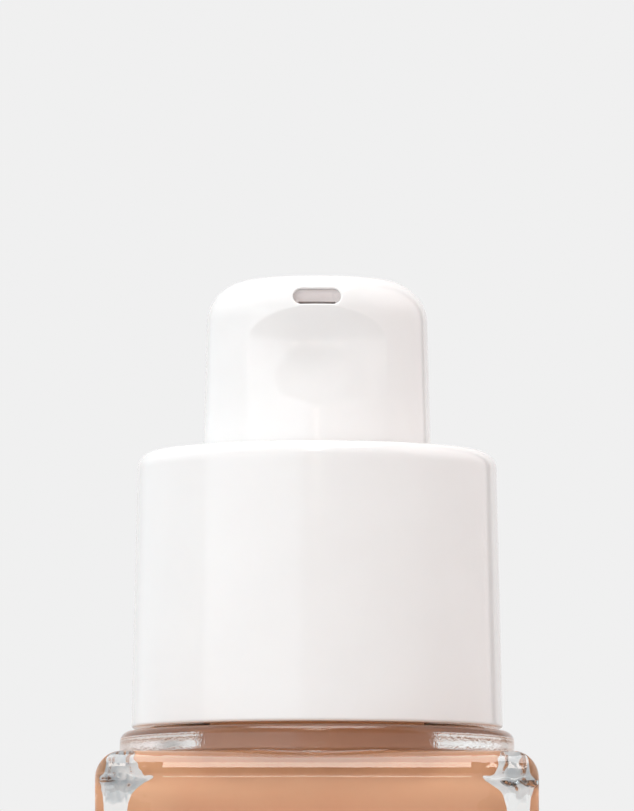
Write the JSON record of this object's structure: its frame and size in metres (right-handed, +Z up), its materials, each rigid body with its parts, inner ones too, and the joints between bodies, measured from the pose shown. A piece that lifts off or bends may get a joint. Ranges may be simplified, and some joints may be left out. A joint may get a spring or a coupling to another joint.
{
  "type": "foundation bottle",
  "caption": "Square clear glass bottle of tan liquid foundation, with a round white collar and a press-down pump head with a slot-shaped orifice.",
  "frame": {"origin": "centre of the base, on the surface that the bottle stands on", "axes": "+Z up along the pump's axis; the orifice faces -Y; +X to the right seen from the front"},
  "size_m": [0.036, 0.036, 0.0897],
  "materials": {
    "clear_glass": "polished, thick, colourless",
    "foundation": "opaque tan liquid",
    "white_gloss": "polished moulded white",
    "natural_plastic": "natural milky polypropylene",
    "tube_plastic": "milky flexible polyethylene",
    "soft_plastic": "soft waxy polyethylene",
    "gasket_foam": "fine closed-cell foam",
    "steel": "bright stainless"
  },
  "bodies": {
    "bottle": {"glass_bottle": "clear_glass", "foundation_liquid": "foundation"},
    "pump": {"pump_housing": "natural_plastic", "stem_guide": "natural_plastic", "neck_gasket": "gasket_foam", "dip_tube": "tube_plastic", "return_spring": "steel"},
    "collar": {"collar_shell": "white_gloss", "inner_cap": "natural_plastic"},
    "inlet_valve": {"inlet_ball": "steel"},
    "plunger": {"pump_stem": "natural_plastic", "piston_seat": "natural_plastic"},
    "piston_ring": {"piston": "soft_plastic"},
    "head": {"head_shell": "white_gloss", "head_core": "natural_plastic"}
  },
  "joints": [
    {"name": "pump_lift", "type": "slide", "parent": "bottle", "child": "pump", "axis": [0, 0, 1], "range_m": [0, 0.00397]},
    {"name": "collar_unscrew", "type": "hinge", "parent": "pump", "child": "collar", "pos_m": [0, 0, 0.06], "axis": [0, 0, 1], "range_deg": [0, 450]},
    {"name": "pump_press", "type": "slide", "parent": "pump", "child": "plunger", "axis": [0, 0, -1], "range_m": [0, 0.0038], "stiffness_N_per_m": 1500, "springref_m": -0.004, "deforming": ["return_spring"]},
    {"name": "head_swivel", "type": "hinge", "parent": "plunger", "child": "head", "pos_m": [0, 0, 0.08], "axis": [0, 0, 1], "continuous": true},
    {"name": "piston_slip", "type": "slide", "parent": "plunger", "child": "piston_ring", "axis": [0, 0, 1], "range_m": [0, 0.0006]},
    {"name": "inlet_ball_lift", "type": "slide", "parent": "pump", "child": "inlet_valve", "axis": [0, 0, 1], "range_m": [0, 0.001]}
  ],
  "couplings": [
    {"joint": "pump_lift", "follows": "collar_unscrew", "m_per_rad": 0.00050531}
  ]
}
